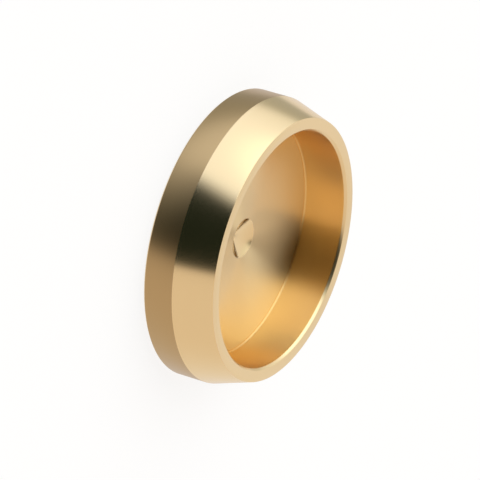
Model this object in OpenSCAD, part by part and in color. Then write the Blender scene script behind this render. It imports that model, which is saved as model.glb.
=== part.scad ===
// Blanking disc for a 22 mm compression fitting, turned in one piece from drawn brass bar.
// The coupling nut presses on the flat back and slides over the plain band. The tapered seat in
// front of the band seals in the fitting's mouth, and the cup bored into the front saves metal.
// Millimetres. The axis is Z, the flat back lies on z = 0, and the cup opens upwards.

/* [Body] */
// Outside diameter of the band, which passes through the thread of the coupling nut
disc_d = 24; // [20:0.5:30]
// Length of the plain band, measured from the flat back
band_len = 2.65; // [1.5:0.05:4]
// Length of the tapered seat, measured along the axis
seat_len = 3.2; // [2:0.1:5]
// Half angle of the tapered seat, measured from the axis
seat_angle = 17.35; // [10:0.05:25]
// Chamfer that breaks the edge between the flat back and the band
back_chamfer = 0.15; // [0.05:0.05:0.5]

/* [Cup] */
// Wall between the small end of the seat and the bore of the cup
rim_wall = 1.125; // [0.8:0.025:2.5]
// Thickness of the web left between the flat back and the floor of the cup
web = 2; // [1.2:0.1:2.5]
// Radius that the boring tool leaves between the floor and the wall of the cup
corner_r = 0.2; // [0.1:0.05:0.4]
// Chamfer round the mouth of the cup
mouth_chamfer = 0.2; // [0.05:0.05:0.4]

/* [Drill mark] */
// Diameter of the drill's cone where it breaks the floor of the cup
mark_d = 3.3; // [1:0.1:3.6]
// Point angle of the drill
mark_angle = 120; // [118:1:150]

/* [Hidden] */
// Sides of a full circle
$fn = 180;
// How far a cut runs past the face that it opens
past = 0.5;
// Radius and height worked out from the sizes above
band_r = disc_d / 2;
height = band_len + seat_len;
rim_r = band_r - seat_len * tan(seat_angle);
bore_r = rim_r - rim_wall;
mark_r = mark_d / 2;
mark_depth = mark_r / tan(mark_angle / 2);

// Half section of the blank before the cup is bored: flat back, band, seat and flat rim
module blank_section() {
    polygon([
        [0, 0],
        [band_r - back_chamfer, 0],
        [band_r, back_chamfer],
        [band_r, band_len],
        [rim_r, height],
        [0, height]
    ]);
}

// Half section of the cup: straight wall, rounded corner, flat floor and chamfered mouth
module cup_section() {
    translate([0, web + corner_r])
        square([bore_r, height - web - corner_r + past]);
    translate([0, web])
        square([bore_r - corner_r, height - web + past]);
    translate([bore_r - corner_r, web + corner_r])
        circle(r = corner_r);
    polygon([
        [0, height - mouth_chamfer],
        [bore_r, height - mouth_chamfer],
        [bore_r + mouth_chamfer + past, height + past],
        [0, height + past]
    ]);
}

// Half section of the shallow cone that the drill's point leaves below the floor of the cup
module drill_mark_section() {
    polygon([
        [0, web - mark_depth],
        [mark_r, web],
        [mark_r, web + past],
        [0, web + past]
    ]);
}

module blanking_disc() {
    color([0.80, 0.63, 0.38])
        rotate_extrude()
            difference() {
                blank_section();
                cup_section();
                drill_mark_section();
            }
}

blanking_disc();
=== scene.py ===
import math

import bpy
from mathutils import Matrix, Vector


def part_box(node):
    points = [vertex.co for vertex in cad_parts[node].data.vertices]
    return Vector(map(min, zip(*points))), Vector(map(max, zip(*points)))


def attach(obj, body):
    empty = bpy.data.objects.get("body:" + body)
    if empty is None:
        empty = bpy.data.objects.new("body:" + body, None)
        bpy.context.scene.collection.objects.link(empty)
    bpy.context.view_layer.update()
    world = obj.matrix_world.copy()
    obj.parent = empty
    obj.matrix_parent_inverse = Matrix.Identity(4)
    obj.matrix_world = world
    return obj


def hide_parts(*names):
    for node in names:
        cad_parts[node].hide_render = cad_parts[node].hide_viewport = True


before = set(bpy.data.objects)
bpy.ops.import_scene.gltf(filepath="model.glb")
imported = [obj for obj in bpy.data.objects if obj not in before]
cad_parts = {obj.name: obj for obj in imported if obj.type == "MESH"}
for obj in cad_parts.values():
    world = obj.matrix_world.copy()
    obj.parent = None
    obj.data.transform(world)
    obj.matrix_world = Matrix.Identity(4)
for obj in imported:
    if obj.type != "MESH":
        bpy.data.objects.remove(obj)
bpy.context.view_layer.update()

MM = 0.001
LOW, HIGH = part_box("blanking_disc")

# Sizes of the disc. Its outside comes from the solid, and the rest are the turner's own dimensions.
BAND_R = (HIGH.x - LOW.x) / 2 / MM
HEIGHT = (HIGH.z - LOW.z) / MM
SEAT_LEN = 3.2
SEAT_ANGLE = math.radians(17.35)
BAND_LEN = HEIGHT - SEAT_LEN
RIM_R = BAND_R - SEAT_LEN * math.tan(SEAT_ANGLE)
RIM_WALL = 1.125
BORE_R = RIM_R - RIM_WALL
WEB = 2.0
CORNER_R = 0.2
BACK_CHAMFER = 0.15
MOUTH_CHAMFER = 0.2
MARK_R = 1.65
MARK_ANGLE = math.radians(120)
MARK_DEPTH = MARK_R / math.tan(MARK_ANGLE / 2)

# Radius that deburring leaves on the sharp edges
EDGE_R = 0.03

# Steps round the disc, round the cup's corner and round a deburred edge
STEPS = 480
CORNER_STEPS = 6
EDGE_STEPS = 3

# How near a vertex counts as being at a place, and how near two of them are one
NEAR = 1e-3
SAME = 1e-4

# Camera: how high it stands above the plane of the disc, how far off, and how it is turned and aimed
CAMERA_UP = math.radians(26.78)
CAMERA_ROLL = math.radians(106.59)
CAMERA_DISTANCE = 400
CAMERA_LENS = 370.85
CAMERA_SENSOR = 36
AIM_RIGHT = 1.459
AIM_DOWN = 0.655

# Nearest and farthest that the camera sees, in metres, and the side of the floor
SEEN_FROM = 0.01
SEEN_TO = 20
FLOOR_SIDE = 6

# The floor's glow where the camera sees it, and the share of the glow in its look
FLOOR_GLOW = 1.15
GLOW_SHARE = 0.72

# The studio's own upright, the level direction towards the camera and the one to its right. The disc
# stood on its edge there, so they are tilted in the frame.
UPRIGHT = Vector((-0.8341, -0.5516, 0))
FORWARD = Vector((0.4719, -0.7137, 0.5177))
RIGHT = Vector((-0.2855, 0.4318, 0.8556))

# Light that each part of the studio sends out, where 1 is the white of the picture
TENT_FOOT = (0.80, 0.77, 0.70, 1)
TENT_TOP = (1.06, 1.08, 1.18, 1)
SOFTBOX = (1.50, 1.55, 1.55, 1)
DIM_BACK = (0.42, 0.42, 0.40, 1)
DARK_ROOM = (0.01, 0.015, 0.01, 1)
TABLE_BACK = (0.82, 0.77, 0.75, 1)
TABLE_FRONT = (0.76, 0.65, 0.56, 1)
WHITE = (1, 1, 1, 1)

# Half widths, as cosines, over which one part of the studio fades into the next
WALL_FADE = 0.08
DOOR_FADE = 0.12
HORIZON_FADE = 0.04


def srgb(code):
    """Linear colour of an sRGB hex code such as D8B070."""
    parts = [int(code[i:i + 2], 16) / 255 for i in (0, 2, 4)]
    return [p / 12.92 if p <= 0.04045 else ((p + 0.055) / 1.055) ** 2.4 for p in parts] + [1]


def node(tree, kind, links=None, **settings):
    """Adds a node, sets it up and fills its inputs. Where one is a node, its first live output is linked."""
    made = tree.nodes.new(kind)
    for name, value in settings.items():
        setattr(made, name, value)
    for socket, value in (links or {}).items():
        if isinstance(value, bpy.types.Node):
            value = next(output for output in value.outputs if output.enabled)
        if isinstance(value, bpy.types.NodeSocket):
            tree.links.new(value, made.inputs[socket])
        else:
            made.inputs[socket].default_value = value
    return made


# The turned disc

def deselect_all():
    for thing in bpy.context.selected_objects:
        thing.select_set(False)
    bpy.context.view_layer.objects.active = None


def select_vertices(mesh, wanted):
    """Selects the vertices of the mesh in edit mode whose place passes the test wanted(x, y, z)."""
    bpy.ops.object.mode_set(mode="OBJECT")
    for face in mesh.polygons:
        face.select = False
    for edge in mesh.edges:
        edge.select = False
    for vertex in mesh.vertices:
        vertex.select = wanted(*(vertex.co / MM))
    bpy.ops.object.mode_set(mode="EDIT")


def turned_disc():
    """Draws the disc's half section as a chain of edges, rounds its corners and spins it about Z."""
    corner = (BORE_R, WEB)
    section = [
        (0, 0),
        (BAND_R - BACK_CHAMFER, 0),
        (BAND_R, BACK_CHAMFER),
        (BAND_R, BAND_LEN),
        (RIM_R, HEIGHT),
        (BORE_R + MOUTH_CHAMFER, HEIGHT),
        (BORE_R, HEIGHT - MOUTH_CHAMFER),
        corner,
        (MARK_R, WEB),
        (0, WEB - MARK_DEPTH),
    ]
    edges = [place for place in section[1:-1] if place != corner]
    deselect_all()
    bpy.ops.mesh.primitive_plane_add(size=MM)
    disc = bpy.context.object
    disc.name = "turned_disc"
    disc.data.name = "turned_disc"
    bpy.ops.object.mode_set(mode="EDIT")
    bpy.ops.mesh.select_mode(type="VERT")
    bpy.ops.mesh.merge(type="CENTER")
    for (r0, z0), (r1, z1) in zip(section, section[1:]):
        step = ((r1 - r0) * MM, 0, (z1 - z0) * MM)
        bpy.ops.mesh.extrude_region_move(TRANSFORM_OT_translate={"value": step})

    def at(r, z):
        return lambda x, y, height: abs(x - r) < NEAR and abs(height - z) < NEAR

    select_vertices(disc.data, at(*corner))
    bpy.ops.mesh.bevel(offset=CORNER_R * MM, segments=CORNER_STEPS, affect="VERTICES")
    for r, z in edges:
        select_vertices(disc.data, at(r, z))
        bpy.ops.mesh.bevel(offset=EDGE_R * MM, segments=EDGE_STEPS, affect="VERTICES")
    bpy.ops.mesh.select_all(action="SELECT")
    bpy.ops.mesh.spin(steps=STEPS, angle=math.tau, axis=(0, 0, 1), center=(0, 0, 0))
    bpy.ops.mesh.select_all(action="SELECT")
    bpy.ops.mesh.remove_doubles(threshold=SAME * MM)
    bpy.ops.mesh.normals_make_consistent(inside=False)
    bpy.ops.object.mode_set(mode="OBJECT")
    bpy.ops.object.shade_smooth()
    even = disc.modifiers.new("flat_faces", "WEIGHTED_NORMAL")
    even.weight = 100
    bpy.ops.object.modifier_apply(modifier=even.name)
    return disc


# Finishes

def brass(name, colour, roughness, anisotropy):
    """A brass whose tool marks run round the axis, so that highlights stretch across them."""
    material = bpy.data.materials.new(name)
    material.use_nodes = True
    tree = material.node_tree
    shader = tree.nodes["Principled BSDF"]
    shader.inputs["Base Color"].default_value = srgb(colour)
    shader.inputs["Metallic"].default_value = 1
    shader.inputs["Roughness"].default_value = roughness
    shader.inputs["Anisotropic"].default_value = anisotropy
    shader.inputs["Anisotropic Rotation"].default_value = 0.25
    tangent = node(tree, "ShaderNodeTangent", direction_type="RADIAL", axis="Z")
    tree.links.new(tangent.outputs[0], shader.inputs["Tangent"])
    return material


def dress(disc):
    """Gives each surface of the disc its finish, told apart by height and radius."""
    finishes = [
        # Cold drawn bar, unmachined: duller and browner than the cut brass, and the same in every direction
        brass("drawn_brass_skin", "C9AE80", 0.3, 0.0),
        # Fine turned cone: bright, with the studio drawn out across the tool marks
        brass("turned_brass_seat", "F9E2B2", 0.22, 0.6),
        # Faced flat: pale and even
        brass("faced_brass_rim", "F9E2B2", 0.28, 0.6),
        # Bored wall: base colour painted a deeper yellow for the light thrown to and fro in the cup, streaked
        # up the wall
        brass("bored_brass_wall", "F6D08C", 0.33, 0.95),
        # Faced floor of the cup: a bright fan and a dark one that meet in the middle
        brass("bored_brass_floor", "F9E2B2", 0.34, 0.95),
        # Cone left by the drill's point: smooth, with a sharp glint
        brass("drilled_brass_point", "F9E2B2", 0.2, 0.4),
        # Faced back, out of sight in the photograph: finished plainly like the rim
        brass("faced_brass_back", "F9E2B2", 0.3, 0.6),
    ]
    skin, seat, rim, wall, floor, mark, back = range(len(finishes))
    for finish in finishes:
        disc.data.materials.append(finish)
    for face in disc.data.polygons:
        x, y, z = face.center / MM
        r = math.hypot(x, y)
        if z < BACK_CHAMFER and r < BAND_R - EDGE_R:
            face.material_index = back
        elif r < BORE_R + EDGE_R and z < HEIGHT - EDGE_R:
            inner = mark if r < MARK_R and z < WEB else floor
            face.material_index = inner if r < BORE_R - CORNER_R else wall
        elif z > HEIGHT - MOUTH_CHAMFER:
            face.material_index = rim if r < RIM_R - EDGE_R else seat
        else:
            face.material_index = seat if z > BAND_LEN else skin


# Studio

def hang_studio():
    """A white tent on a pale table, with a softbox on its right, a dim back and a dark room in front."""
    world = bpy.data.worlds.new("studio")
    bpy.context.scene.world = world
    world.use_nodes = True
    tree = world.node_tree
    tree.nodes.clear()
    look = node(tree, "ShaderNodeTexCoord").outputs["Generated"]

    def towards(azimuth, height):
        """The direction that lies so far right of the camera and so high above the table."""
        azimuth = math.radians(azimuth)
        height = math.radians(height)
        level = FORWARD * math.cos(azimuth) + RIGHT * math.sin(azimuth)
        return UPRIGHT * math.sin(height) + level * math.cos(height)

    def side_of(direction, start, end):
        """Softly 0 to 1 as the look's cosine to the direction goes from start to end."""
        cosine = node(tree, "ShaderNodeVectorMath", {0: look, 1: direction}, operation="DOT_PRODUCT")
        return node(tree, "ShaderNodeMapRange", {"Value": cosine, "From Min": start, "From Max": end},
                    interpolation_type="SMOOTHSTEP")

    def hung_over(ground, layers):
        """Hangs layer after layer of light over the ground, each where its share is 1."""
        for light, share in layers:
            ground = node(tree, "ShaderNodeMix", {"Factor": share, "A": ground, "B": light}, data_type="RGBA")
        return ground

    # The dark room shows past the tent's two front edges, and ends where the tent closes on the left.
    past_edges = node(tree, "ShaderNodeMath", {
        0: side_of(towards(-50, -22.3), -DOOR_FADE, DOOR_FADE),
        1: side_of(towards(-16, -37), -DOOR_FADE, DOOR_FADE),
    }, operation="MAXIMUM")
    room = node(tree, "ShaderNodeMath", {
        0: past_edges,
        1: side_of(towards(5, 0), -0.47, 0.45),
    }, operation="MULTIPLY")

    # The tent grows whiter and brighter towards its top, and the table yellower towards the front.
    tent = hung_over(TENT_FOOT, [
        (TENT_TOP, side_of(UPRIGHT, 0.0, 0.95)),
        (SOFTBOX, side_of(towards(82, 46), 0.76, 0.92)),
        (DIM_BACK, side_of(towards(-137, -39), -WALL_FADE, WALL_FADE)),
        (DARK_ROOM, room),
    ])
    around = hung_over(TABLE_BACK, [
        (TABLE_FRONT, side_of(FORWARD, -0.6, 0.5)),
        (tent, side_of(towards(65, 84.3), -HORIZON_FADE, HORIZON_FADE)),
    ])
    light = node(tree, "ShaderNodeBackground", {"Color": around})
    white = node(tree, "ShaderNodeBackground", {"Color": WHITE})
    seen = node(tree, "ShaderNodeLightPath").outputs["Is Camera Ray"]
    shown = node(tree, "ShaderNodeMixShader", {0: seen, 1: light, 2: white})
    node(tree, "ShaderNodeOutputWorld", {"Surface": shown})


def lay_floor():
    """A white floor that glows where the camera sees it, so that only the disc's soft shadow shows."""
    deselect_all()
    bpy.ops.mesh.primitive_plane_add(size=FLOOR_SIDE)
    floor = bpy.context.object
    floor.name = "floor"
    material = bpy.data.materials.new("white_table")
    material.use_nodes = True
    tree = material.node_tree
    shader = tree.nodes["Principled BSDF"]
    shader.inputs["Base Color"].default_value = srgb("F0F0F0")
    shader.inputs["Roughness"].default_value = 1
    shader.inputs["Specular IOR Level"].default_value = 0
    rays = node(tree, "ShaderNodeLightPath")
    glow = node(tree, "ShaderNodeEmission", {"Color": WHITE, "Strength": FLOOR_GLOW})
    lit = node(tree, "ShaderNodeMixShader", {0: GLOW_SHARE, 1: shader, 2: glow})
    clear = node(tree, "ShaderNodeBsdfTransparent")
    seen = node(tree, "ShaderNodeMixShader", {0: rays.outputs["Is Camera Ray"], 1: shader, 2: lit})
    through = node(tree, "ShaderNodeMixShader", {0: rays.outputs["Is Glossy Ray"], 1: seen, 2: clear})
    side = node(tree, "ShaderNodeNewGeometry").outputs["Backfacing"]
    under = node(tree, "ShaderNodeMixShader", {0: side, 1: through, 2: clear})
    tree.links.new(under.outputs[0], tree.nodes["Material Output"].inputs["Surface"])
    floor.data.materials.append(material)


def set_camera():
    """The camera that took the photograph, found from the disc's circles in it."""
    data = bpy.data.cameras.new("camera")
    data.sensor_width = CAMERA_SENSOR
    data.lens = CAMERA_LENS
    data.clip_start = SEEN_FROM
    data.clip_end = SEEN_TO
    camera = bpy.data.objects.new("camera", data)
    bpy.context.scene.collection.objects.link(camera)
    back = Vector((0, -math.cos(CAMERA_UP), math.sin(CAMERA_UP)))
    level = Vector((1, 0, 0))
    right = Matrix.Rotation(CAMERA_ROLL, 3, back) @ level
    up = back.cross(right)
    place = back * CAMERA_DISTANCE + right * AIM_RIGHT - up * AIM_DOWN
    turn = Matrix((right, up, back)).transposed().to_4x4()
    camera.matrix_world = Matrix.Translation(place * MM) @ turn
    bpy.context.scene.camera = camera


set_camera()
hang_studio()
lay_floor()
disc = turned_disc()
dress(disc)
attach(disc, "root")
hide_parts("blanking_disc")

scene = bpy.context.scene
scene.view_settings.view_transform = "Standard"
